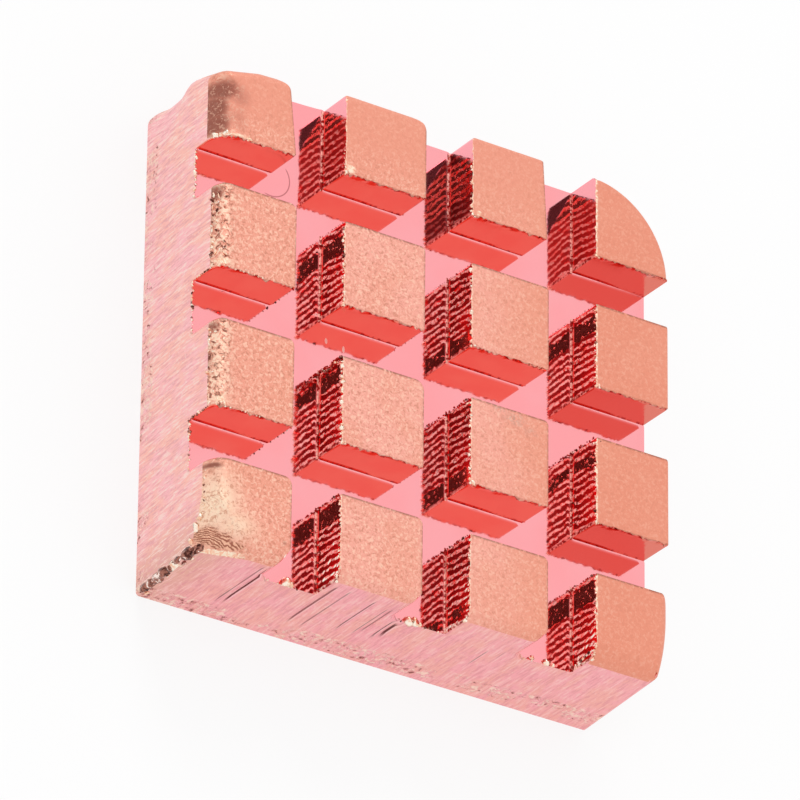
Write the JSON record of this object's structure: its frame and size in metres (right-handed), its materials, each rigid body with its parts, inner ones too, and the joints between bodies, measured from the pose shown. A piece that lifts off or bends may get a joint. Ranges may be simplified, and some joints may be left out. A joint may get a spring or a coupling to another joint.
{
  "type": "pin fin heat sink",
  "caption": "Low square copper heat sink milled from one block, with a grid of short square pins on a thick base and a flat underside.",
  "frame": {"origin": "centre of the flat underside, taken at the middle of the overall width and depth", "axes": "+Z out of the underside's far side, the way the pins point; +X and +Y along the sides of the square base, with the widely rounded corner at +X +Y"},
  "size_m": [0.015, 0.015, 0.004],
  "materials": {
    "copper": "bare copper: milled bright on the channel floors and walls, bead-blasted matt on the pin tops, ground on the outer sides"
  },
  "bodies": {
    "root": {"heat_sink": "copper"}
  },
  "joints": []
}
